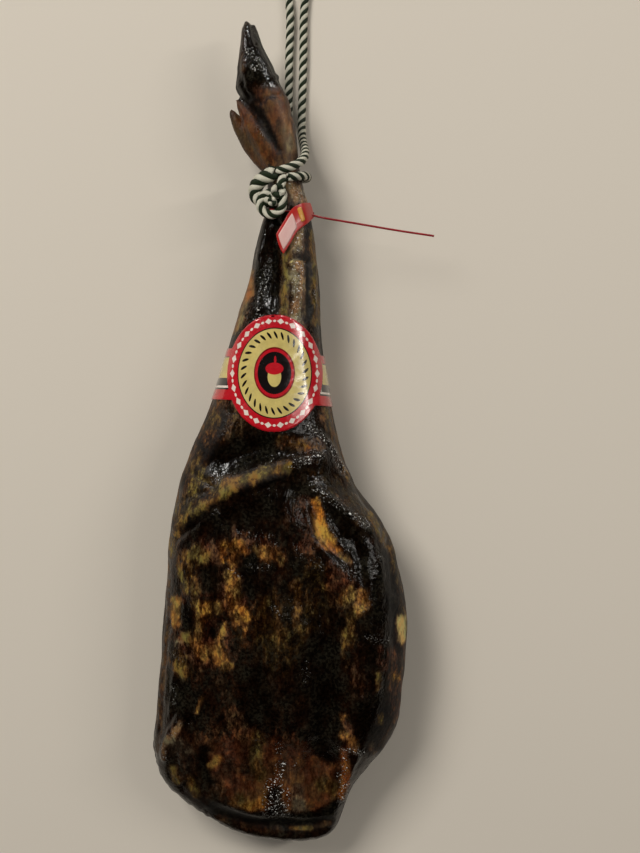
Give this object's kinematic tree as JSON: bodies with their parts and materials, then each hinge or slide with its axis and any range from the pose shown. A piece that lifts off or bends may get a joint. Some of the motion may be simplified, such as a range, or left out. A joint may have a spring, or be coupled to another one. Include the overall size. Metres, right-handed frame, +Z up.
{
  "type": "iberian ham",
  "caption": "Whole cured shoulder ham with its trotter, an oval card label round the shank, a plastic seal at the ankle and a twisted hanging rope.",
  "frame": {"origin": "on the resting plane, under the middle of the footprint without the rope", "axes": "+Z up out of the shown side, +Y along the leg towards the hoof, +X to the right when seen from above with the hoof away from the viewer"},
  "size_m": [0.2398, 0.8016, 0.101],
  "materials": {
    "cured_ham": "dry-cured meat, rind and fat with an oily gloss",
    "label_card": "printed and varnished",
    "seal_plastic": "moulded, slightly translucent",
    "rope_fibre": "twisted synthetic fibre, dark green and off-white strands"
  },
  "bodies": {
    "root": {"ham": "cured_ham", "label": "label_card", "seal": "seal_plastic", "rope": "rope_fibre", "rope_knot": "rope_fibre"}
  },
  "joints": []
}
